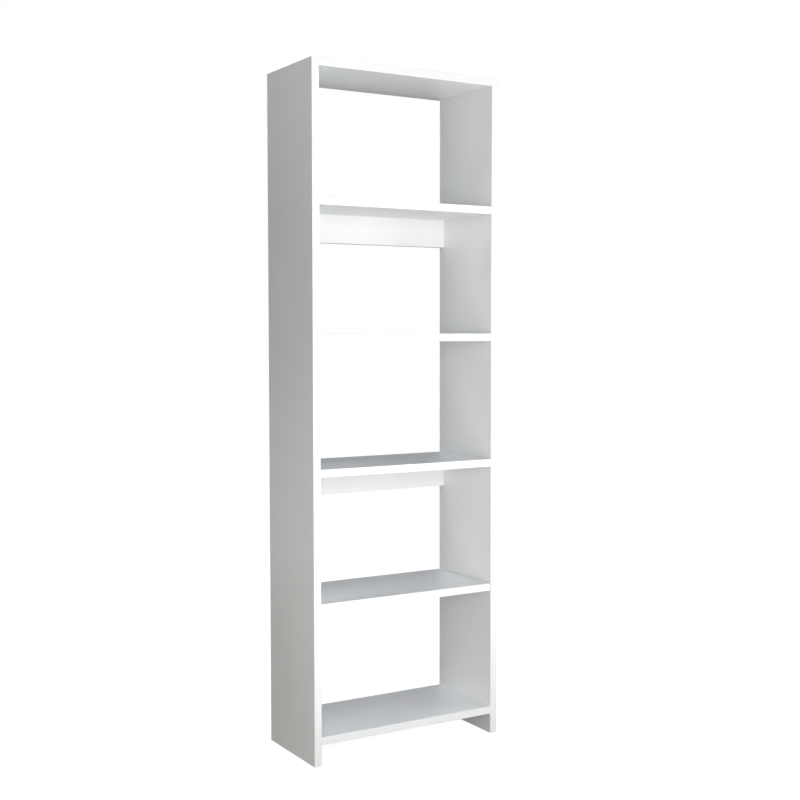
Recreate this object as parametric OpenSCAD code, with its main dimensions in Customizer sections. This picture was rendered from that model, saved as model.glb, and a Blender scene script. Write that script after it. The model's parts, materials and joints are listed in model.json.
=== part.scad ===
// Tall open bookcase: two full-height side panels carry a top, a bottom and four shelves.
// Two shelves are cammed to the sides, each with a stiffening rail under its back edge. The
// two between them rest on pins and can be lifted and set at other heights.
// Millimetres. The origin is on the floor at the centre of the footprint, +X is to the
// right, -Y is the front that books go in from, and +Z is up.

/* [Case] */
// Overall width, over the side panels
case_w = 500; // [400:10:800]
// Overall depth, over the edge bands
case_d = 230; // [200:5:350]
// Thickness of every board
board_t = 18; // [16:1:22]
// Height of the open gap under the bottom board
floor_gap = 48; // [20:1:120]
// Clear height of each of the five bays
bay_h = 286; // [240:1:360]

/* [Stiffening rails] */
// Height of each rail
rail_h = 68; // [60:1:100]
// Setback of the rails from the case's back edge
rail_setback = 1; // [1:0.5:5]

/* [Edge band] */
// Thickness of the band glued to each visible board edge
band_t = 1; // [0.8:0.1:2]
// Radius trimmed on the band's long edges
band_r = 0.6; // [0.3:0.1:0.8]
// Hairline between two bands that meet at a corner
band_joint = 0.05; // [0.02:0.01:0.2]

/* [Adjustable shelves] */
// Gap between each end of the shelf and the side panel
shelf_end_gap = 1; // [0.8:0.1:2]
// Setback of the shelf from the case's front and back edges
shelf_setback = 1; // [0:0.5:5]
// Spacing of the holes that a shelf pin can be moved to
pin_pitch = 32; // [25:1:50]
// Distance of the rows of pins and fittings from the case's front and back edges
row_inset = 37; // [30:1:50]

/* [Shelf pins] */
// Diameter of the hole that a pin sits in
pin_hole_d = 5; // [4:0.5:6]
// Length of a pin inside the side panel
pin_seat = 9; // [8:1:11]
// Length of a pin under the shelf
pin_reach = 8; // [6:1:10]
// How far a pin is drawn out to free it
pin_travel = 10; // [10:1:12]

/* [Cam fittings] */
// Diameter of the pocket for a cam lock
cam_pocket_d = 15; // [12:1:16]
// Distance from the board's end to the centre of the cam lock
cam_setback = 34; // [28:1:40]
// Diameter of the cap over a cam lock
cam_cap_d = 17.5; // [16.5:0.5:20]
// Thickness of the rim of each cap, over a cam lock or over a spare pin hole
cap_t = 0.6; // [0.4:0.1:0.8]

/* [Dowels] */
// Diameter of a dowel's hole
dowel_hole_d = 8; // [6:1:8]
// Length of a dowel
dowel_len = 30; // [25:1:35]
// Length of a dowel inside the side panel
dowel_seat = 10; // [8:1:12]
// Distance between a dowel and the cam bolt next to it
dowel_offset = 32; // [25:1:40]

/* [Hidden] */
$fn = 48;

MELAMINE = [0.93, 0.93, 0.92];
BAND = [0.97, 0.97, 0.96];
ZINC = [0.66, 0.67, 0.69];
STEEL = [0.75, 0.75, 0.76];
BEECH = [0.82, 0.68, 0.48];
CAP = [0.95, 0.95, 0.94];

// The horizontal boards are counted from the floor up
BOTTOM = 0;
LOWER_LOOSE = 1;
LOWER_FIXED = 2;
UPPER_LOOSE = 3;
UPPER_FIXED = 4;
TOP = 5;
FIXED_BOARDS = [BOTTOM, LOWER_FIXED, UPPER_FIXED, TOP];
RAILED_BOARDS = [LOWER_FIXED, UPPER_FIXED];
LOOSE_BOARDS = [LOWER_LOOSE, UPPER_LOOSE];

inner_w = case_w - 2 * board_t;
case_h = floor_gap + board_t + TOP * (bay_h + board_t);
row_y = case_d / 2 - row_inset;
dowel_y = row_y - dowel_offset;
rail_y = case_d / 2 - rail_setback - board_t / 2;

shelf_w = inner_w - 2 * shelf_end_gap;
shelf_d = case_d - 2 * shelf_setback;

// Clearance on the radius of a piece pushed into a hole, and at a hole's blind end
fit = 0.05;
blind = 1;

pin_r = pin_hole_d / 2 - fit;
groove_w = pin_hole_d + 0.4;
groove_l = pin_reach + pin_travel + 2 * blind;

// A cam lock reaches past the bolt's axis, which runs along the middle of the board
cam_h = board_t / 2 + 4.5;
cam_r = cam_pocket_d / 2 - 0.1;
cam_cavity_r = cam_r - 2.5;
bolt_bore_d = 8;
bolt_hole_d = 5;
bolt_seat = 11;
bolt_neck_r = 2;
bolt_head_r = 3.2;

function board_mid_z(level) = floor_gap + board_t / 2 + level * (bay_h + board_t);
function rail_mid_z(level) = board_mid_z(level) - (board_t + rail_h) / 2;
function pin_z(level) = board_mid_z(level) - (board_t - pin_hole_d) / 2;

// ---- Placing things ----

// At the middle of a horizontal board, with +Z through its thickness
module on_board(level) {
    translate([0, 0, board_mid_z(level)])
        children();
}

// At the middle of the rail under a board: +Y runs up the rail and -Z out of its back face
module on_rail(level) {
    translate([0, rail_y, rail_mid_z(level)])
        rotate([90, 0, 0])
            children();
}

// At both ends of a board, where it meets the side panels, with +X into the panel
module at_ends() {
    for (side = [0, 1])
        mirror([side, 0, 0])
            translate([inner_w / 2, 0, 0])
                children();
}

// Along the board's end, at each of the given distances from its middle
module along_end(places) {
    for (y = places)
        translate([0, y, 0])
            children();
}

// Where the fittings sit along the end of a horizontal board and of a rail
BOARD_BOLTS = [-row_y, row_y];
BOARD_DOWELS = [-dowel_y, dowel_y];
RAIL_BOLTS = [dowel_offset / 2];
RAIL_DOWELS = [-dowel_offset / 2];

// ---- Plain shapes ----

// A rod along X from the origin, away from the side panel if the length is negative
module rod_x(r, length) {
    translate([min(length, 0), 0, 0])
        rotate([0, 90, 0])
            cylinder(h = abs(length), r = r);
}

// A turned piece whose outline is given as [distance along X, radius] pairs
module turned_x(outline) {
    rotate([0, 90, 0])
        rotate_extrude()
            polygon([for (p = outline) [p[1], p[0]]]);
}

// ---- Edge band ----

// Section of the band: its glued face is at x = 0 and its trimmed face at x = -band_t
module band_section() {
    straight = board_t / 2 - band_r;
    translate([band_r - band_t, -board_t / 2])
        square([band_t - band_r, board_t]);
    translate([-band_t, -straight])
        square([band_t, 2 * straight]);
    for (y = [-straight, straight])
        translate([band_r - band_t, y])
            intersection() {
                circle(band_r);
                translate([-2 * band_r, -2 * band_r])
                    square([2 * band_r, 4 * band_r]);
            }
}

// A strip along X, glued at y = 0 and facing -Y
module band_strip(length) {
    rotate([90, 0, 90])
        linear_extrude(length, center = true)
            band_section();
}

// Strips on the front and back edges of a board that is d deep without them
module front_and_back_bands(length, d) {
    for (back = [0, 1])
        mirror([0, back, 0])
            translate([0, -d / 2, 0])
                band_strip(length);
}

// ---- Cam locks, cam bolts, dowels and caps, each at the right-hand end of a board ----

// The slot that lets the cam turn past the bolt's neck, and the way in for the bolt's head
module cam_slots() {
    entry_angle = 60;
    slot_angle = 200;
    slot_w = 2 * bolt_neck_r + 0.6;
    rotate([0, 0, entry_angle - slot_angle])
        rotate_extrude(angle = slot_angle)
            translate([cam_cavity_r - 1, -slot_w / 2])
                square([cam_r, slot_w]);
    rotate([0, 0, entry_angle])
        rod_x(bolt_head_r + 0.2, cam_r + 1);
}

// The driver's cross, with a round middle that also takes the cap's stem
module cam_cross() {
    depth = 2.5;
    arm_l = 10;
    arm_w = 1.8;
    middle_r = 2.4;
    translate([0, 0, -board_t / 2 - 1]) {
        cylinder(h = depth + 1, r = middle_r);
        for (a = [0, 90])
            rotate([0, 0, a])
                translate([-arm_l / 2, -arm_w / 2, 0])
                    cube([arm_l, arm_w, depth + 1]);
    }
}

module cam_lock() {
    head_room = 2 * bolt_head_r + 0.8;
    translate([-cam_setback, 0, 0])
        difference() {
            translate([0, 0, -board_t / 2])
                cylinder(h = cam_h, r = cam_r);
            translate([0, 0, -head_room / 2])
                cylinder(h = head_room, r = cam_cavity_r);
            cam_slots();
            cam_cross();
        }
}

// Thread in the side panel, collar against its face, then shank, neck and head in the board
module cam_bolt() {
    crest_r = bolt_hole_d / 2 - fit;
    root_r = crest_r - 0.5;
    chamfer = 0.6;
    turns = 5;
    lead = (bolt_seat - 1) / turns;
    head_l = 4;
    head_end = 3 - cam_setback;
    neck_end = cam_r - cam_setback + 1;
    shank_r = 3;
    collar_r = 3.5;
    collar_l = 1.5;
    thread = [
        for (i = [0 : turns - 1])
            each [[i * lead, root_r], [(i + 0.5) * lead, crest_r]]
    ];
    turned_x(concat(
        [[head_end - head_l, 0], [head_end - head_l, bolt_head_r - chamfer]],
        [[head_end - head_l + chamfer, bolt_head_r], [head_end - chamfer, bolt_head_r]],
        [[head_end, bolt_neck_r], [neck_end, bolt_neck_r], [neck_end + 1, shank_r]],
        [[-collar_l, shank_r], [-collar_l, collar_r], [0, collar_r]],
        thread,
        [[turns * lead, root_r], [bolt_seat, 1], [bolt_seat, 0]]
    ));
}

module dowel() {
    r = dowel_hole_d / 2 - fit;
    chamfer = 1;
    start = dowel_seat - dowel_len;
    turned_x([
        [start, 0], [start, r - chamfer], [start + chamfer, r],
        [dowel_seat - chamfer, r], [dowel_seat, r - chamfer], [dowel_seat, 0],
    ]);
}

// The rim lies against the board's face, and the stem goes into the cam's cross
module cam_cap() {
    stem_l = 2;
    stem_r = 2.2;
    chamfer = cap_t / 2;
    r = cam_cap_d / 2;
    translate([-cam_setback, 0, -board_t / 2])
        rotate([0, 90, 0])
            turned_x([
                [-stem_l, 0], [-stem_l, stem_r], [0, stem_r], [0, r],
                [cap_t - chamfer, r], [cap_t, r - chamfer], [cap_t, 0],
            ]);
}

module cam_locks(bolts) {
    at_ends()
        along_end(bolts)
            cam_lock();
}

module cam_bolts(bolts) {
    at_ends()
        along_end(bolts)
            cam_bolt();
}

module dowels(places) {
    at_ends()
        along_end(places)
            dowel();
}

module cam_caps(bolts) {
    at_ends()
        along_end(bolts)
            cam_cap();
}

// Everything drilled in the end and the underside of a board for its fittings
module board_bores(bolts, dowel_places) {
    at_ends() {
        along_end(bolts) {
            rod_x(bolt_bore_d / 2, -cam_setback);
            translate([-cam_setback, 0, -board_t / 2 - 1])
                cylinder(h = cam_h + 0.5 + 1, r = cam_pocket_d / 2);
        }
        along_end(dowel_places)
            rod_x(dowel_hole_d / 2, dowel_seat - dowel_len - blind);
    }
}

// Everything drilled in the right-hand side panel for one board's fittings
module panel_bores(bolts, dowel_places) {
    translate([inner_w / 2, 0, 0]) {
        along_end(bolts)
            rod_x(bolt_hole_d / 2, bolt_seat + blind);
        along_end(dowel_places)
            rod_x(dowel_hole_d / 2, dowel_seat + blind);
    }
}

// ---- Shelf pins and the holes they use ----

// At each place for a pin in the right-hand side panel: the one in use, and one above and below
module at_pin_holes(steps) {
    for (level = LOOSE_BOARDS, y = [-row_y, row_y], step = steps)
        translate([inner_w / 2, y, pin_z(level) + step * pin_pitch])
            children();
}

module shelf_pin(level, side, front) {
    chamfer = 0.5;
    mirror([side, 0, 0])
        translate([inner_w / 2, front * row_y, pin_z(level)])
            turned_x([
                [-pin_reach, 0], [-pin_reach, pin_r - chamfer], [chamfer - pin_reach, pin_r],
                [pin_seat - chamfer, pin_r], [pin_seat, pin_r - chamfer], [pin_seat, 0],
            ]);
}

// A cap over a spare hole, seen as a thin disc on the panel's face
module hole_caps() {
    head_r = 4;
    stem_l = 6;
    chamfer = cap_t / 2;
    at_pin_holes([-1, 1])
        turned_x([
            [-cap_t, 0], [-cap_t, head_r - chamfer], [chamfer - cap_t, head_r],
            [0, head_r], [0, pin_r], [stem_l, pin_r], [stem_l, 0],
        ]);
}

// Blind grooves under the ends of an adjustable shelf, which hide the pins
module pin_grooves() {
    cutter_r = groove_w / 2;
    at_ends()
        along_end([-row_y, row_y])
            translate([-shelf_end_gap - groove_l, 0, -board_t / 2 - 1]) {
                translate([cutter_r, 0, 0])
                    cylinder(h = pin_hole_d + 1, r = cutter_r);
                translate([cutter_r, -cutter_r, 0])
                    cube([groove_l, groove_w, pin_hole_d + 1]);
            }
}

// ---- Boards ----

module slab(w, d, h) {
    translate([-w / 2, -d / 2, -h / 2])
        cube([w, d, h]);
}

// The right-hand side panel, without its edge bands
module side_panel() {
    core_h = case_h - band_t;
    difference() {
        translate([(inner_w + board_t) / 2, 0, core_h / 2])
            slab(board_t, case_d - 2 * band_t, core_h);
        for (level = FIXED_BOARDS)
            on_board(level)
                panel_bores(BOARD_BOLTS, BOARD_DOWELS);
        for (level = RAILED_BOARDS)
            on_rail(level)
                panel_bores(RAIL_BOLTS, RAIL_DOWELS);
        at_pin_holes([-1, 0, 1])
            rod_x(pin_hole_d / 2, pin_seat + blind);
    }
}

// Bands on the front, back and top edges of the right-hand side panel
module side_bands() {
    core_d = case_d - 2 * band_t;
    translate([(inner_w + board_t) / 2, 0, case_h / 2])
        rotate([0, -90, 0])
            front_and_back_bands(case_h, core_d);
    translate([(inner_w + board_t) / 2, 0, case_h - band_t])
        rotate([-90, 0, 90])
            band_strip(core_d - 2 * band_joint);
}

module fixed_board() {
    difference() {
        slab(inner_w, case_d - 2 * band_t, board_t);
        board_bores(BOARD_BOLTS, BOARD_DOWELS);
    }
}

module fixed_board_bands() {
    front_and_back_bands(inner_w, case_d - 2 * band_t);
}

module adjustable_board() {
    difference() {
        slab(shelf_w - 2 * band_t, shelf_d - 2 * band_t, board_t);
        pin_grooves();
    }
}

// Bands on all four edges of an adjustable shelf, notched where the pins pass
module adjustable_board_bands() {
    core_d = shelf_d - 2 * band_t;
    front_and_back_bands(shelf_w, core_d);
    difference() {
        for (side = [0, 1])
            mirror([side, 0, 0])
                translate([shelf_w / 2 - band_t, 0, 0])
                    rotate([0, 0, 90])
                        band_strip(core_d - 2 * band_joint);
        pin_grooves();
    }
}

// A rail's lower edge is banded, and its upper edge meets the shelf above
module rail_board() {
    difference() {
        translate([0, band_t / 2, 0])
            slab(inner_w, rail_h - band_t, board_t);
        board_bores(RAIL_BOLTS, RAIL_DOWELS);
    }
}

module rail_band() {
    translate([0, band_t - rail_h / 2, 0])
        band_strip(inner_w);
}

// ---- Sub-parts: boards ----

module right_side_panel() {
    color(MELAMINE) side_panel();
}

module left_side_panel() {
    color(MELAMINE) mirror([1, 0, 0]) side_panel();
}

module top_panel() {
    color(MELAMINE) on_board(TOP) fixed_board();
}

module bottom_panel() {
    color(MELAMINE) on_board(BOTTOM) fixed_board();
}

module upper_fixed_shelf() {
    color(MELAMINE) on_board(UPPER_FIXED) fixed_board();
}

module lower_fixed_shelf() {
    color(MELAMINE) on_board(LOWER_FIXED) fixed_board();
}

module upper_adjustable_shelf() {
    color(MELAMINE) on_board(UPPER_LOOSE) adjustable_board();
}

module lower_adjustable_shelf() {
    color(MELAMINE) on_board(LOWER_LOOSE) adjustable_board();
}

module upper_back_rail() {
    color(MELAMINE) on_rail(UPPER_FIXED) rail_board();
}

module lower_back_rail() {
    color(MELAMINE) on_rail(LOWER_FIXED) rail_board();
}

// ---- Sub-parts: edge bands ----

module right_side_edge_band() {
    color(BAND) side_bands();
}

module left_side_edge_band() {
    color(BAND) mirror([1, 0, 0]) side_bands();
}

module top_panel_edge_band() {
    color(BAND) on_board(TOP) fixed_board_bands();
}

module bottom_panel_edge_band() {
    color(BAND) on_board(BOTTOM) fixed_board_bands();
}

module upper_fixed_edge_band() {
    color(BAND) on_board(UPPER_FIXED) fixed_board_bands();
}

module lower_fixed_edge_band() {
    color(BAND) on_board(LOWER_FIXED) fixed_board_bands();
}

module upper_adjustable_edge_band() {
    color(BAND) on_board(UPPER_LOOSE) adjustable_board_bands();
}

module lower_adjustable_edge_band() {
    color(BAND) on_board(LOWER_LOOSE) adjustable_board_bands();
}

module upper_rail_edge_band() {
    color(BAND) on_rail(UPPER_FIXED) rail_band();
}

module lower_rail_edge_band() {
    color(BAND) on_rail(LOWER_FIXED) rail_band();
}

// ---- Sub-parts: cam locks ----

module top_panel_cam_locks() {
    color(ZINC) on_board(TOP) cam_locks(BOARD_BOLTS);
}

module bottom_panel_cam_locks() {
    color(ZINC) on_board(BOTTOM) cam_locks(BOARD_BOLTS);
}

module upper_fixed_cam_locks() {
    color(ZINC) on_board(UPPER_FIXED) cam_locks(BOARD_BOLTS);
}

module lower_fixed_cam_locks() {
    color(ZINC) on_board(LOWER_FIXED) cam_locks(BOARD_BOLTS);
}

module upper_rail_cam_locks() {
    color(ZINC) on_rail(UPPER_FIXED) cam_locks(RAIL_BOLTS);
}

module lower_rail_cam_locks() {
    color(ZINC) on_rail(LOWER_FIXED) cam_locks(RAIL_BOLTS);
}

// ---- Sub-parts: cam bolts ----

module top_panel_cam_bolts() {
    color(STEEL) on_board(TOP) cam_bolts(BOARD_BOLTS);
}

module bottom_panel_cam_bolts() {
    color(STEEL) on_board(BOTTOM) cam_bolts(BOARD_BOLTS);
}

module upper_fixed_cam_bolts() {
    color(STEEL) on_board(UPPER_FIXED) cam_bolts(BOARD_BOLTS);
}

module lower_fixed_cam_bolts() {
    color(STEEL) on_board(LOWER_FIXED) cam_bolts(BOARD_BOLTS);
}

module upper_rail_cam_bolts() {
    color(STEEL) on_rail(UPPER_FIXED) cam_bolts(RAIL_BOLTS);
}

module lower_rail_cam_bolts() {
    color(STEEL) on_rail(LOWER_FIXED) cam_bolts(RAIL_BOLTS);
}

// ---- Sub-parts: dowels ----

module top_panel_dowels() {
    color(BEECH) on_board(TOP) dowels(BOARD_DOWELS);
}

module bottom_panel_dowels() {
    color(BEECH) on_board(BOTTOM) dowels(BOARD_DOWELS);
}

module upper_fixed_dowels() {
    color(BEECH) on_board(UPPER_FIXED) dowels(BOARD_DOWELS);
}

module lower_fixed_dowels() {
    color(BEECH) on_board(LOWER_FIXED) dowels(BOARD_DOWELS);
}

module upper_rail_dowels() {
    color(BEECH) on_rail(UPPER_FIXED) dowels(RAIL_DOWELS);
}

module lower_rail_dowels() {
    color(BEECH) on_rail(LOWER_FIXED) dowels(RAIL_DOWELS);
}

// ---- Sub-parts: caps over the cam locks ----

module top_panel_cam_caps() {
    color(CAP) on_board(TOP) cam_caps(BOARD_BOLTS);
}

module bottom_panel_cam_caps() {
    color(CAP) on_board(BOTTOM) cam_caps(BOARD_BOLTS);
}

module upper_fixed_cam_caps() {
    color(CAP) on_board(UPPER_FIXED) cam_caps(BOARD_BOLTS);
}

module lower_fixed_cam_caps() {
    color(CAP) on_board(LOWER_FIXED) cam_caps(BOARD_BOLTS);
}

module upper_rail_cam_caps() {
    color(CAP) on_rail(UPPER_FIXED) cam_caps(RAIL_BOLTS);
}

module lower_rail_cam_caps() {
    color(CAP) on_rail(LOWER_FIXED) cam_caps(RAIL_BOLTS);
}

// ---- Sub-parts: shelf pins, then the caps over the spare pin holes ----

LEFT = 1;
RIGHT = 0;
FRONT = -1;
BACK = 1;

module upper_pin_front_left() {
    color(STEEL) shelf_pin(UPPER_LOOSE, LEFT, FRONT);
}

module upper_pin_front_right() {
    color(STEEL) shelf_pin(UPPER_LOOSE, RIGHT, FRONT);
}

module upper_pin_back_left() {
    color(STEEL) shelf_pin(UPPER_LOOSE, LEFT, BACK);
}

module upper_pin_back_right() {
    color(STEEL) shelf_pin(UPPER_LOOSE, RIGHT, BACK);
}

module lower_pin_front_left() {
    color(STEEL) shelf_pin(LOWER_LOOSE, LEFT, FRONT);
}

module lower_pin_front_right() {
    color(STEEL) shelf_pin(LOWER_LOOSE, RIGHT, FRONT);
}

module lower_pin_back_left() {
    color(STEEL) shelf_pin(LOWER_LOOSE, LEFT, BACK);
}

module lower_pin_back_right() {
    color(STEEL) shelf_pin(LOWER_LOOSE, RIGHT, BACK);
}

module right_side_hole_caps() {
    color(CAP) hole_caps();
}

module left_side_hole_caps() {
    color(CAP) mirror([1, 0, 0]) hole_caps();
}

left_side_panel();
right_side_panel();
top_panel();
bottom_panel();
upper_fixed_shelf();
lower_fixed_shelf();
upper_adjustable_shelf();
lower_adjustable_shelf();
upper_back_rail();
lower_back_rail();
left_side_edge_band();
right_side_edge_band();
top_panel_edge_band();
bottom_panel_edge_band();
upper_fixed_edge_band();
lower_fixed_edge_band();
upper_adjustable_edge_band();
lower_adjustable_edge_band();
upper_rail_edge_band();
lower_rail_edge_band();
top_panel_cam_locks();
bottom_panel_cam_locks();
upper_fixed_cam_locks();
lower_fixed_cam_locks();
upper_rail_cam_locks();
lower_rail_cam_locks();
top_panel_cam_bolts();
bottom_panel_cam_bolts();
upper_fixed_cam_bolts();
lower_fixed_cam_bolts();
upper_rail_cam_bolts();
lower_rail_cam_bolts();
top_panel_dowels();
bottom_panel_dowels();
upper_fixed_dowels();
lower_fixed_dowels();
upper_rail_dowels();
lower_rail_dowels();
top_panel_cam_caps();
bottom_panel_cam_caps();
upper_fixed_cam_caps();
lower_fixed_cam_caps();
upper_rail_cam_caps();
lower_rail_cam_caps();
upper_pin_front_left();
upper_pin_front_right();
upper_pin_back_left();
upper_pin_back_right();
lower_pin_front_left();
lower_pin_front_right();
lower_pin_back_left();
lower_pin_back_right();
left_side_hole_caps();
right_side_hole_caps();
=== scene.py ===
"""Looks of a tall white melamine bookcase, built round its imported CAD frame."""
import json
import math

import bmesh
import bpy
from mathutils import Matrix, Vector


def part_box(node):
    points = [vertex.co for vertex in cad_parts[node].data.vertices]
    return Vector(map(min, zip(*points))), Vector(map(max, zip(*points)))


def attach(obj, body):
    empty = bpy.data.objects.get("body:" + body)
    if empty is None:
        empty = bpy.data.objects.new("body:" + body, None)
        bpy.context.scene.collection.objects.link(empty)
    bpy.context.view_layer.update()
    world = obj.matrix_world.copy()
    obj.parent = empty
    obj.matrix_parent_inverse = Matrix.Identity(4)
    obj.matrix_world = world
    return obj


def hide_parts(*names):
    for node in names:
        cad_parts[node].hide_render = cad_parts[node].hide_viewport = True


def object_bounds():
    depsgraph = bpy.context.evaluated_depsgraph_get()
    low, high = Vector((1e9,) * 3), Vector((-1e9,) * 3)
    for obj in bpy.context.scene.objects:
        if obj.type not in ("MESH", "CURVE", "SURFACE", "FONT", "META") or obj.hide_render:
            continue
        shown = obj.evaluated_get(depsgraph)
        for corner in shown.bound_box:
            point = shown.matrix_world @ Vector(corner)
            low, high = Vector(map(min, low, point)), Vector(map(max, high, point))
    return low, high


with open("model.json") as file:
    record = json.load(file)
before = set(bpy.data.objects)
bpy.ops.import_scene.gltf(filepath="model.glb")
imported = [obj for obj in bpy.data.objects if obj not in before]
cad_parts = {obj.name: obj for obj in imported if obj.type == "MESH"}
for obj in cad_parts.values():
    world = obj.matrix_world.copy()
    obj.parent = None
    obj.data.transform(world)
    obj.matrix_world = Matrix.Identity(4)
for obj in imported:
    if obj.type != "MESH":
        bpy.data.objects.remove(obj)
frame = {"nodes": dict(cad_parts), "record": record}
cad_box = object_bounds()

MM = 0.001
X, Z = 0, 2
WHITE = (1.0, 1.0, 1.0)
MERGE_WITHIN = 0.001 * MM

nodes = frame["nodes"]
slot_of = {part["node"]: part["material_slot"] for part in frame["record"]["subparts"]}


# ---- Node trees ----


def colour(red, green, blue):
    return (red, green, blue, 1.0)


def grey(level, tint=WHITE):
    return colour(*(level * t for t in tint))


class Shader:
    """A material's node tree, with its Principled shader at hand."""

    def __init__(self, name, **constants):
        self.material = bpy.data.materials.new(name)
        self.material.use_nodes = True
        self.tree = self.material.node_tree
        self.surface = self.tree.nodes["Principled BSDF"]
        for socket, value in constants.items():
            self.surface.inputs[socket.replace("_", " ")].default_value = value
        self.place = self.add("ShaderNodeTexCoord").outputs["Object"]

    def add(self, kind, sockets=None, **settings):
        node = self.tree.nodes.new(kind)
        for key, value in settings.items():
            setattr(node, key, value)
        for socket, value in (sockets or {}).items():
            if isinstance(value, bpy.types.NodeSocket):
                self.tree.links.new(value, node.inputs[socket])
            else:
                node.inputs[socket].default_value = value
        return node

    def math(self, operation, a, b=0.0):
        return self.add("ShaderNodeMath", {0: a, 1: b}, operation=operation).outputs[0]

    def stretched(self, scale):
        """The object's coordinates, multiplied along each axis."""
        return self.add("ShaderNodeMapping", {"Vector": self.place, "Scale": scale}).outputs["Vector"]

    def noise(self, scale, detail=2.0, place=None):
        sockets = {"Vector": place or self.place, "Scale": scale, "Detail": detail}
        return self.add("ShaderNodeTexNoise", sockets).outputs["Fac"]

    def chips(self, scale, place):
        return self.add("ShaderNodeTexVoronoi", {"Vector": place, "Scale": scale})

    def ranged(self, value, low=0.0, high=1.0, from_low=0.3, from_high=0.7):
        """The value spread from its own range, which for a noise is about 0.3 to 0.7, to another."""
        sockets = {"Value": value, "From Min": from_low, "From Max": from_high, "To Min": low, "To Max": high}
        return self.add("ShaderNodeMapRange", sockets).outputs["Result"]

    def blend(self, factor, a, b):
        """A blend of two colours, which a Mix node takes at its sockets 6 and 7."""
        return self.add("ShaderNodeMix", {0: factor, 6: a, 7: b}, data_type="RGBA").outputs[2]

    def blend_number(self, factor, a, b):
        return self.add("ShaderNodeMix", {0: factor, 2: a, 3: b}, data_type="FLOAT").outputs[0]

    def link(self, socket, value):
        self.tree.links.new(value, self.surface.inputs[socket])

    def relief(self, height):
        """Bumps of the given height, in metres."""
        self.link("Normal", self.add("ShaderNodeBump", {"Height": height, "Distance": 1.0}).outputs["Normal"])


# ---- Materials ----


def melamine(name, through, thickness):
    """Melamine paper on both faces of a chipboard core. The faces lie across the axis `through`."""
    paper_t = 0.25 * MM
    pearl_height = 0.012 * MM
    pit_depth = 0.25 * MM
    core_roughness = 0.92
    s = Shader(name)
    generated = s.tree.nodes["Texture Coordinate"].outputs["Generated"]
    across = s.add("ShaderNodeSeparateXYZ", {0: generated}).outputs[through]
    from_middle = s.math("ABSOLUTE", s.math("SUBTRACT", across, 0.5))
    core = s.math("LESS_THAN", from_middle, 0.5 - paper_t / thickness)

    # The paper is pressed with a fine pearl texture, and its tone and gloss drift over the sheet
    coarse_share = 1.4
    pearl = s.math("ADD", s.noise(scale=760.0), s.math("MULTIPLY", s.noise(scale=260.0), coarse_share))
    drift = s.noise(scale=2.2, detail=3.0)
    specks = s.noise(scale=420.0, detail=3.0)
    cool_white = grey(0.76, tint=(0.992, 1.0, 1.004))
    warm_white = grey(0.80, tint=(1.0, 1.0, 0.996))
    white = s.blend(s.ranged(drift), cool_white, warm_white)
    white = s.blend(s.ranged(specks, high=0.035), white, grey(0.62))
    gloss = s.ranged(s.noise(scale=9.0, detail=4.0), low=0.36, high=0.45)

    # The core is pressed chips, which lie flat: coarse in the middle and fine towards the faces
    flatness = 2.6
    fine_from = 0.34
    flat = [1.0, 1.0, 1.0]
    flat[through] = flatness
    chip_place = s.stretched(flat)
    coarse = s.chips(300.0, chip_place)
    fine = s.chips(900.0, chip_place)
    outer = s.math("GREATER_THAN", from_middle, fine_from)
    chip = s.blend(outer, coarse.outputs["Color"], fine.outputs["Color"])
    chip_tone = s.add("ShaderNodeSeparateXYZ", {0: chip}).outputs[0]
    ramp = s.add("ShaderNodeValToRGB", {"Fac": chip_tone})
    darkest, palest = ramp.color_ramp.elements
    darkest.color = colour(0.23, 0.13, 0.065)
    palest.color = colour(0.62, 0.45, 0.27)
    middle = ramp.color_ramp.elements.new(0.45)
    middle.color = colour(0.43, 0.28, 0.15)
    pits = s.blend_number(outer, coarse.outputs["Distance"], fine.outputs["Distance"])

    pressed = s.math("MULTIPLY", pearl, pearl_height)
    pitted = s.math("MULTIPLY", pits, -pit_depth)
    s.link("Base Color", s.blend(core, white, ramp.outputs["Color"]))
    s.link("Roughness", s.blend_number(core, gloss, core_roughness))
    s.relief(s.blend_number(core, pressed, pitted))
    return s.material


def edge_band(name, along):
    """Extruded plastic strip, with faint drawn lines and scraper marks along it."""
    line_height = 0.008 * MM
    wave_share = 0.5
    s = Shader(name)
    drawn = [1.0, 1.0, 1.0]
    drawn[along] = 0.006
    lines = s.noise(scale=1900.0, detail=3.0, place=s.stretched(drawn))
    waves = s.noise(scale=36.0, detail=1.0)
    tone = s.ranged(s.noise(scale=5.0, detail=2.0))
    marks = s.math("ADD", lines, s.math("MULTIPLY", waves, wave_share))
    s.link("Base Color", s.blend(tone, grey(0.79), grey(0.83, tint=(1.0, 1.0, 0.995))))
    s.link("Roughness", s.ranged(marks, low=0.30, high=0.44, from_low=0.5, from_high=1.0))
    s.relief(s.math("MULTIPLY", lines, line_height))
    return s.material


def cap_plastic():
    """Moulded white plastic with a fine spark-eroded texture."""
    grain_height = 0.01 * MM
    s = Shader("cap_plastic")
    grain = s.noise(scale=2400.0)
    s.link("Base Color", s.blend(s.ranged(s.noise(scale=160.0)), grey(0.77), grey(0.81)))
    s.link("Roughness", s.ranged(grain, low=0.42, high=0.56))
    s.relief(s.math("MULTIPLY", grain, grain_height))
    return s.material


def zinc_cam():
    """Die-cast zinc: dull, with flow marks and grain."""
    grain_height = 0.03 * MM
    s = Shader("zinc_cam", Metallic=1.0)
    flow = s.noise(scale=180.0, detail=4.0)
    grain = s.noise(scale=1500.0)
    s.link("Base Color", s.blend(s.ranged(flow), colour(0.40, 0.41, 0.43), colour(0.58, 0.59, 0.61)))
    s.link("Roughness", s.ranged(flow, low=0.38, high=0.62))
    s.relief(s.math("MULTIPLY", grain, grain_height))
    return s.material


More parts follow.
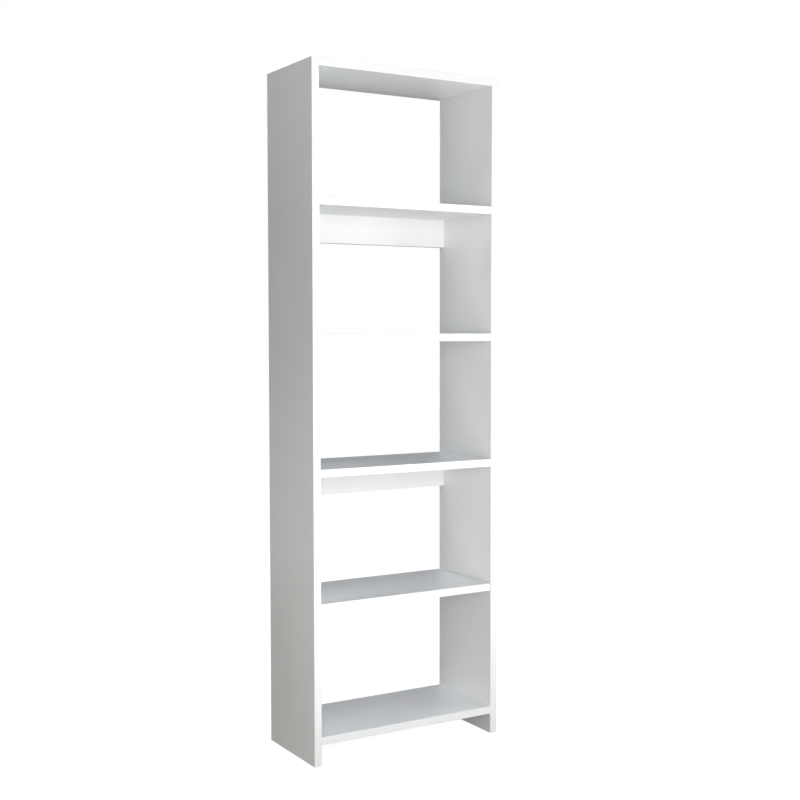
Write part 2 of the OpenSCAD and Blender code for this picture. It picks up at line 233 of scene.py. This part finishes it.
def steel_bolt():
    """Zinc-plated steel, turned, so its marks run round the X axis."""
    mark_height = 0.006 * MM
    s = Shader("steel_bolt", Metallic=1.0)
    rings = s.noise(scale=1400.0, place=s.stretched((1.0, 0.04, 0.04)))
    s.link("Base Color", s.blend(s.ranged(rings), colour(0.56, 0.57, 0.60), colour(0.74, 0.74, 0.75)))
    s.link("Roughness", s.ranged(rings, low=0.24, high=0.38))
    s.relief(s.math("MULTIPLY", rings, mark_height))
    return s.material


def nickel_pin():
    """Nickel-plated steel, centreless ground, with fine marks round the X axis."""
    mark_height = 0.004 * MM
    s = Shader("nickel_pin", Metallic=1.0)
    rings = s.noise(scale=2600.0, place=s.stretched((1.0, 0.03, 0.03)))
    haze = s.noise(scale=300.0, detail=3.0)
    dulled = s.math("ADD", rings, haze)
    s.link("Base Color", s.blend(s.ranged(haze), colour(0.60, 0.57, 0.52), colour(0.74, 0.71, 0.66)))
    s.link("Roughness", s.ranged(dulled, low=0.14, high=0.30, from_low=0.7, from_high=1.3))
    s.relief(s.math("MULTIPLY", rings, mark_height))
    return s.material


def beech_dowel():
    """Beech, with its grain along the X axis and short dark rays."""
    grain_height = 0.05 * MM
    ray_size = 0.16
    ray_strength = 0.5
    s = Shader("beech_dowel")
    grain = s.noise(scale=900.0, detail=4.0, place=s.stretched((0.05, 1.0, 1.0)))
    flecks = s.chips(1100.0, s.stretched((0.25, 1.0, 1.0)))
    rays = s.math("LESS_THAN", flecks.outputs["Distance"], ray_size)
    wood = s.blend(s.ranged(grain), colour(0.46, 0.28, 0.14), colour(0.68, 0.47, 0.27))
    s.link("Base Color", s.blend(s.math("MULTIPLY", rays, ray_strength), wood, colour(0.30, 0.16, 0.07)))
    s.link("Roughness", s.ranged(grain, low=0.55, high=0.75))
    s.relief(s.math("MULTIPLY", grain, grain_height))
    return s.material


def through_axis(node):
    """The axis across a board's faces, which is its thinnest, and how thick it is."""
    lo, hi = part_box(node)
    size = list(hi - lo)
    return size.index(min(size)), min(size)


melamines = {}
bands = {along: edge_band(f"edge_band_{'xyz'[along]}", along) for along in (X, Z)}
plain = {make.__name__: make() for make in (cap_plastic, zinc_cam, steel_bolt, nickel_pin, beech_dowel)}


def material_for(node):
    slot = slot_of[node]
    if slot == "melamine_board":
        through, thickness = through_axis(node)
        if through not in melamines:
            melamines[through] = melamine(f"melamine_{'xyz'[through]}", through, thickness)
        return melamines[through]
    if slot == "edge_band":
        return bands[Z if "side" in node else X]
    return plain[slot]


for name, obj in nodes.items():
    material = material_for(name)
    for material_slot in obj.material_slots:
        material_slot.material = material


# ---- Softened edges ----


def soften(node, width):
    """Rounds a CAD node's sharp edges with modifiers, and leaves its faces flat."""
    obj = nodes[node]
    obj.modifiers.new("weld", "WELD").merge_threshold = MERGE_WITHIN
    flatten = obj.modifiers.new("flatten", "DECIMATE")
    flatten.decimate_type = "DISSOLVE"
    flatten.angle_limit = math.radians(0.3)
    bevel = obj.modifiers.new("bevel", "BEVEL")
    bevel.width = width
    bevel.segments = 2
    bevel.limit_method = "ANGLE"
    bevel.angle_limit = math.radians(40)
    bevel.use_clamp_overlap = False
    obj.modifiers.new("normals", "WEIGHTED_NORMAL")


for name in nodes:
    if slot_of[name] in ("edge_band", "nickel_pin"):
        soften(name, 0.12 * MM)
for name in ("upper_adjustable_shelf", "lower_adjustable_shelf"):
    soften(name, 0.15 * MM)


# ---- Fittings, each in place of the plainer CAD solid it has the same size as ----


def solids_of(node):
    """The lowest and highest corner of each separate solid in a CAD node."""
    shape = bmesh.new()
    shape.from_mesh(nodes[node].data)
    bmesh.ops.remove_doubles(shape, verts=shape.verts, dist=MERGE_WITHIN)
    seen = set()
    boxes = []
    for first in shape.verts:
        if first in seen:
            continue
        seen.add(first)
        reached, front = [first], [first]
        while front:
            near = [e.other_vert(v) for v in front for e in v.link_edges]
            front = [v for v in dict.fromkeys(near) if v not in seen]
            seen.update(front)
            reached += front
        boxes.append([Vector([pick(v.co[i] for v in reached) for i in range(3)]) for pick in (min, max)])
    shape.free()
    return boxes


def add_turned(shape, outline, place, segments):
    """Adds a turned solid, from (distance along, radius) pairs. A radius may depend on the angle."""
    angles = [math.tau * i / segments for i in range(segments)]
    rings = []
    for along, radius in outline:
        if radius == 0:
            rings.append([shape.verts.new(place @ Vector((along, 0, 0)))])
            continue
        ring = []
        for a in angles:
            r = radius(a) if callable(radius) else radius
            ring.append(shape.verts.new(place @ Vector((along, r * math.cos(a), r * math.sin(a)))))
        rings.append(ring)
    for near, far in zip(rings, rings[1:]):
        for i in range(segments):
            j = (i + 1) % segments
            corners = [near[i % len(near)], near[j % len(near)], far[j % len(far)], far[i % len(far)]]
            shape.faces.new(dict.fromkeys(corners))


def fitting(node, outward, outline_for, segments, add_more=None):
    """Builds a turned piece in each solid's place. Its outline starts at its outer tip and runs inwards."""
    shape = bmesh.new()
    for lo, hi in solids_of(node):
        middle, half = (lo + hi) / 2, (hi - lo) / 2
        out = outward(middle)
        length = 2 * abs(half.dot(out))
        radius = max(h for h, o in zip(half, out) if o == 0)
        tip = middle + out * length / 2
        turn = Vector((1, 0, 0)).rotation_difference(-out).to_matrix().to_4x4()
        place = Matrix.Translation(tip) @ turn
        add_turned(shape, outline_for(length, radius), place, segments)
        if add_more:
            add_more(shape, length, place)
    bmesh.ops.recalc_face_normals(shape, faces=shape.faces)
    mesh = bpy.data.meshes.new(f"fine_{node}")
    shape.to_mesh(mesh)
    shape.free()
    mesh.shade_smooth()
    mesh.set_sharp_from_angle(angle=math.radians(38))
    mesh.materials.append(material_for(node))
    piece = bpy.data.objects.new(f"fine_{node}", mesh)
    bpy.context.scene.collection.objects.link(piece)
    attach(piece, "case")
    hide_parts(node)


def arc(centre, radius, start, end):
    """Points on an arc as (distance along, radius) pairs, between two angles in degrees from straight out."""
    steps = 4
    for i in range(steps + 1):
        a = math.radians(start + (end - start) * i / steps)
        yield centre[0] - radius * math.cos(a), centre[1] + radius * math.sin(a)


def cap_outline(stem_r, grooved):
    """A thin crowned head with a rounded rim, and a round stem behind it."""
    head_t = 0.6 * MM
    crown = 0.12 * MM
    edge = 0.3 * MM
    chamfer = 0.3 * MM
    crown_share = 0.8
    crown_steps = 6
    groove_depth = 0.3 * MM
    groove_shares = (0.84, 0.87, 0.91)

    def outline(length, radius):
        face_r = radius - edge
        points = [(0.0, 0.0)]
        for k in range(1, crown_steps + 1):
            points.append((crown * (k / crown_steps) ** 2, face_r * crown_share * k / crown_steps))
        if grooved:
            inner_r, outer_r, lip_r = (face_r * share for share in groove_shares)
            points += [(groove_depth, inner_r), (groove_depth, outer_r), (crown, lip_r)]
        points += arc((crown + edge, face_r), edge, 0, 90)
        points += [(head_t, radius), (head_t, stem_r)]
        points += [(length - chamfer, stem_r), (length, stem_r - chamfer), (length, 0.0)]
        return points

    return outline


def dowel_outline(length, radius):
    """Rounded ends, and flutes that let the glue past."""
    flutes = 16
    depth = 0.3 * MM
    round_r = 1.0 * MM
    flutes_from = 2.2 * MM

    def fluted(a):
        return radius - depth * max(0.0, math.cos(flutes * a)) ** 2

    end = list(arc((round_r, radius - round_r), round_r, 0, 90))
    far_end = [(length - along, r) for along, r in reversed(end)]
    fluted_part = [(flutes_from, fluted), (length - flutes_from, fluted)]
    return [(0.0, 0.0), *end, *fluted_part, *far_end, (length, 0.0)]


BOLT_SEAT = 11.0 * MM
BOLT_TIP = 1.0 * MM
BOLT_CORE_R = 1.95 * MM


def bolt_outline(length, radius):
    """From its head: a rounded head, neck, shank, the collar, and the core that the thread is wound on."""
    head_l, head_r, edge = 4.0 * MM, 3.2 * MM, 0.7 * MM
    neck_end, neck_r = 9.4 * MM, 2.0 * MM
    cone_l, shank_r = 1.0 * MM, 3.0 * MM
    collar_l, bevel = 1.5 * MM, 0.2 * MM
    tip_r = 1.0 * MM
    seat = length - BOLT_SEAT
    collar = seat - collar_l
    return [
        (0.0, 0.0),
        *arc((edge, head_r - edge), edge, 0, 90),
        *arc((head_l - edge, head_r - edge), edge, 90, 180),
        (head_l, neck_r),
        (neck_end, neck_r),
        (neck_end + cone_l, shank_r),
        (collar, shank_r),
        (collar, radius - bevel),
        (collar + bevel, radius),
        (seat, radius),
        (seat, BOLT_CORE_R),
        (length - BOLT_TIP, BOLT_CORE_R),
        (length, tip_r),
        (length, 0.0),
    ]


def add_bolt_thread(shape, length, place):
    """Adds a ridge wound round the bolt's core, which dies away at both ends."""
    crest_r, half_width, sunk = 2.45 * MM, 0.55 * MM, 0.1 * MM
    turns, steps_a_turn, fade_steps = 4.7, 28, 14
    steps = round(turns * steps_a_turn)
    first = length - BOLT_SEAT + half_width
    last = length - BOLT_TIP - half_width
    foot_r = BOLT_CORE_R - sunk
    sections = []
    for i in range(steps + 1):
        a = math.tau * i / steps_a_turn
        along = first + (last - first) * i / steps
        fade = min(1.0, i / fade_steps, (steps - i) / fade_steps)
        ridge_r = BOLT_CORE_R + (crest_r - BOLT_CORE_R) * fade
        corners = [(along - half_width, foot_r), (along, ridge_r), (along + half_width, foot_r)]
        around = [Vector((x, r * math.cos(a), r * math.sin(a))) for x, r in corners]
        sections.append([shape.verts.new(place @ corner) for corner in around])
    for near, far in zip(sections, sections[1:]):
        for i in range(3):
            j = (i + 1) % 3
            shape.faces.new([near[i], near[j], far[j], far[i]])
    shape.faces.new(sections[0])
    shape.faces.new(sections[-1])


def inwards(middle):
    return Vector((-math.copysign(1, middle.x), 0, 0))


def under(middle):
    return Vector((0, 0, -1))


def backwards(middle):
    return Vector((0, 1, 0))


HOLE_CAP_STEM_R = 2.45 * MM
CAM_CAP_STEM_R = 2.2 * MM

for name in nodes:
    if name.endswith("hole_caps"):
        fitting(name, inwards, cap_outline(HOLE_CAP_STEM_R, grooved=False), segments=40)
    elif name.endswith("cam_caps"):
        outward = backwards if "rail" in name else under
        fitting(name, outward, cap_outline(CAM_CAP_STEM_R, grooved=True), segments=64)
    elif name.endswith("dowels"):
        fitting(name, inwards, dowel_outline, segments=96)
    elif name.endswith("cam_bolts"):
        fitting(name, inwards, bolt_outline, segments=40, add_more=add_bolt_thread)


# ---- Floor ----


def make_floor():
    """A pale, softly lit shooting table, level with the bookcase's feet."""
    clearance = 0.2 * MM
    mesh = bpy.data.meshes.new("floor")
    shape = bmesh.new()
    bmesh.ops.create_circle(shape, cap_ends=True, segments=96, radius=2.6)
    shape.to_mesh(mesh)
    shape.free()
    floor = bpy.data.objects.new("floor", mesh)
    floor.location.z = cad_box[0].z - clearance
    # The lamps alone light the bookcase, as the floor's glow would flatten its shading
    floor.visible_diffuse = False
    floor.visible_glossy = False
    floor.visible_shadow = False
    bpy.context.scene.collection.objects.link(floor)
    glow = {"Emission_Color": colour(*WHITE), "Emission_Strength": 0.95}
    s = Shader("floor", Roughness=0.9, Specular_IOR_Level=0.0, **glow)
    s.link("Base Color", s.blend(s.noise(scale=1.3), grey(0.17), grey(0.19)))
    # Clear from beneath, so that it never hides the underside
    beneath = s.add("ShaderNodeNewGeometry").outputs["Backfacing"]
    clear = s.add("ShaderNodeBsdfTransparent").outputs[0]
    seen = s.add("ShaderNodeMixShader", {0: beneath, 1: s.surface.outputs[0], 2: clear}).outputs[0]
    s.tree.links.new(seen, s.tree.nodes["Material Output"].inputs["Surface"])
    mesh.materials.append(s.material)


make_floor()


# ---- Light ----

MIDDLE = (cad_box[0] + cad_box[1]) / 2
STUDIO_MIDDLE = Vector((0, 0, 0.9))
STUDIO_R = 3.2
LARGE = 1.6
SMALL = 0.4


def softbox(name, at, size, power, tint=WHITE, aim=MIDDLE, mirrored=True):
    """A square area light at a point, turned to face another."""
    data = bpy.data.lights.new(name, "AREA")
    data.size = size
    data.energy = power
    data.color = tint
    light = bpy.data.objects.new(name, data)
    light.location = at
    light.rotation_euler = (Vector(aim) - Vector(at)).to_track_quat("-Z", "Y").to_euler()
    light.visible_camera = False
    light.visible_glossy = mirrored
    bpy.context.scene.collection.objects.link(light)


def round_it(turn, height):
    """A place on a sphere round the bookcase. A turn of 0 is straight in front, and 90 is to its right."""
    a, e = math.radians(turn), math.radians(height)
    ahead = Vector((math.sin(a) * math.cos(e), -math.cos(a) * math.cos(e), math.sin(e)))
    return STUDIO_MIDDLE + STUDIO_R * ahead


# Large lamps all round. Those near straight in front and behind don't show in the gloss, because
# their glare would hide the inner faces in views from the other end
softbox("front", round_it(-20, 0), LARGE, 50.7, (1.0, 0.978, 0.991), mirrored=False)
softbox("right_front", round_it(45, 0), LARGE, 30.3, (0.997, 1.0, 0.98))
softbox("right", round_it(70, 0), LARGE, 62.4, (0.854, 0.952, 1.0))
softbox("left_front", round_it(-45, 0), LARGE, 20.3, (0.965, 1.0, 0.927))
softbox("left_high", round_it(-45, 30), LARGE, 14.0, (0.929, 0.965, 1.0))
softbox("back_high", round_it(180, 30), LARGE, 54.2, (0.877, 0.913, 1.0), mirrored=False)
softbox("back", round_it(180, 0), SMALL, 20.0, mirrored=False)

# For the top, the underside, and the lower part of the front
softbox("overhead", (0.0, 0.1, 2.6), SMALL, 8.0, (0.96, 0.98, 1.0), aim=(0.0, 0.1, 0.0))
softbox("beneath", (0.0, 0.0, -3.0), SMALL, 8.0, aim=(0.0, 0.0, 0.0))
softbox("low_front", (0.0, -1.5, 0.05), 1.2, 23.8, (0.988, 1.0, 0.974), aim=(0.0, -1.35, 3.0), mirrored=False)

# Small lamps that shade the left side, each aimed at its plane
SIDE_X = cad_box[0].x
softbox("side_front", (-1.05, -0.7, 0.1), 0.5, 1.8, (1.0, 0.981, 0.933), aim=(SIDE_X, -0.21, 0.1))
softbox("side_low", (-1.25, -0.05, 0.0), SMALL, 1.2, (1.0, 0.924, 0.855), aim=(SIDE_X, -0.05, 0.0))
softbox("side_high", (-1.25, -0.05, 2.1), SMALL, 2.9, (0.993, 0.989, 1.0), aim=(SIDE_X, -0.05, 2.1))
softbox("side_back", (-0.95, 1.3, 0.3), SMALL, 0.7, aim=(SIDE_X, 0.0, 0.3))
softbox("side_back_upper", (-0.95, 1.3, 0.6), SMALL, 0.5, (1.0, 0.965, 0.965), aim=(SIDE_X, 0.0, 0.6))


def make_world():
    """A white backdrop that only the camera sees. It gives no light."""
    world = bpy.data.worlds.new("studio")
    world.use_nodes = True
    bpy.context.scene.world = world
    tree = world.node_tree
    tree.nodes.clear()
    out = tree.nodes.new("ShaderNodeOutputWorld")
    mix = tree.nodes.new("ShaderNodeMixShader")
    rays = tree.nodes.new("ShaderNodeLightPath")
    unlit = tree.nodes.new("ShaderNodeBackground")
    unlit.inputs["Strength"].default_value = 0.0
    backdrop = tree.nodes.new("ShaderNodeBackground")
    backdrop.inputs["Color"].default_value = colour(*WHITE)
    tree.links.new(rays.outputs["Is Camera Ray"], mix.inputs[0])
    tree.links.new(unlit.outputs[0], mix.inputs[1])
    tree.links.new(backdrop.outputs[0], mix.inputs[2])
    tree.links.new(mix.outputs[0], out.inputs["Surface"])


make_world()


# ---- Camera ----

CAMERA_AT = (-1.5321, -2.6245, 0.9801)
CAMERA_TURN = math.radians(30.988)
CAMERA_TILT = math.radians(3.040)
CAMERA_ROLL = math.radians(-0.057)


def make_camera():
    """In front of the bookcase, to its left and a little over half way up."""
    turn, tilt, roll = CAMERA_TURN, CAMERA_TILT, CAMERA_ROLL
    data = bpy.data.cameras.new("camera")
    data.lens = 57.03
    data.sensor_width = 36.0
    data.clip_start = 0.01
    ahead = Vector((math.sin(turn) * math.cos(tilt), math.cos(turn) * math.cos(tilt), -math.sin(tilt)))
    level = Vector((math.cos(turn), -math.sin(turn), 0.0))
    upright = level.cross(ahead)
    right = math.cos(roll) * level + math.sin(roll) * upright
    up = math.cos(roll) * upright - math.sin(roll) * level
    facing = Matrix((right, up, -ahead)).transposed().to_4x4()
    camera = bpy.data.objects.new("camera", data)
    camera.matrix_world = Matrix.Translation(CAMERA_AT) @ facing
    bpy.context.scene.collection.objects.link(camera)
    bpy.context.scene.camera = camera


make_camera()
bpy.context.scene.view_settings.view_transform = "Standard"
